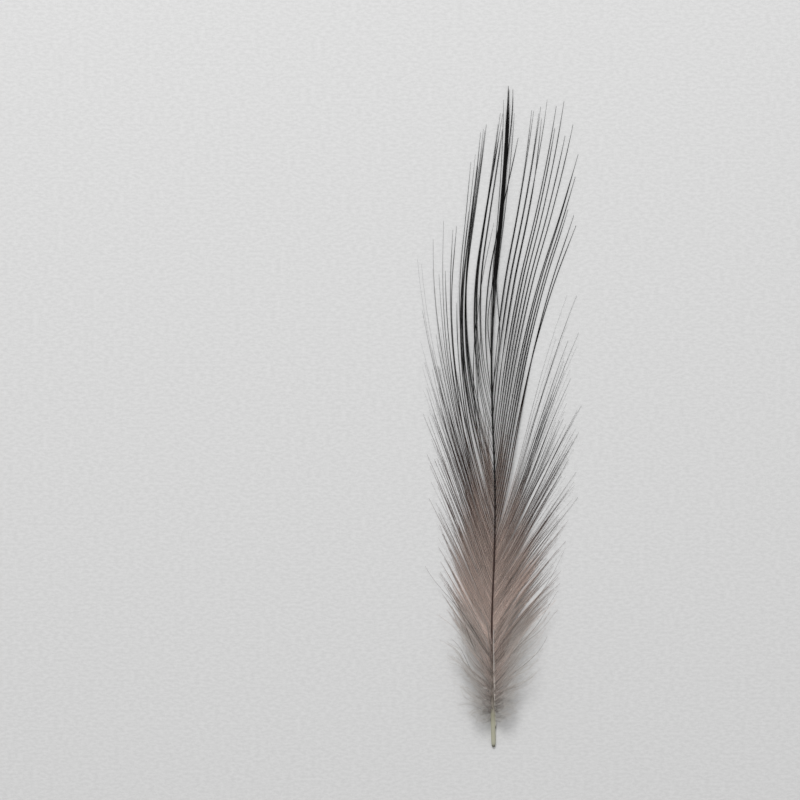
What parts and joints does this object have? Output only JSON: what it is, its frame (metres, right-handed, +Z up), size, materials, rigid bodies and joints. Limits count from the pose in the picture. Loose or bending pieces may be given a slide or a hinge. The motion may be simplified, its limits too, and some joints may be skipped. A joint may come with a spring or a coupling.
{
  "type": "heron feather",
  "caption": "Loose heron plume lying flat: cream quill, dark shaft, downy grey base, brown-grey vane and long free black barbs that fan out towards a fine tip.",
  "frame": {"origin": "on the surface the feather lies on, under the middle of its bounding box", "axes": "+Y from the quill's end to the tip, +X to the right seen from above, +Z up from the surface"},
  "size_m": [0.0332, 0.1454, 0.0031],
  "materials": {
    "feather": "matte",
    "quill": "satin",
    "black_barbs": "matte",
    "vane": "matte",
    "down": "matte"
  },
  "bodies": {
    "root": {"feather": "feather"}
  },
  "joints": []
}
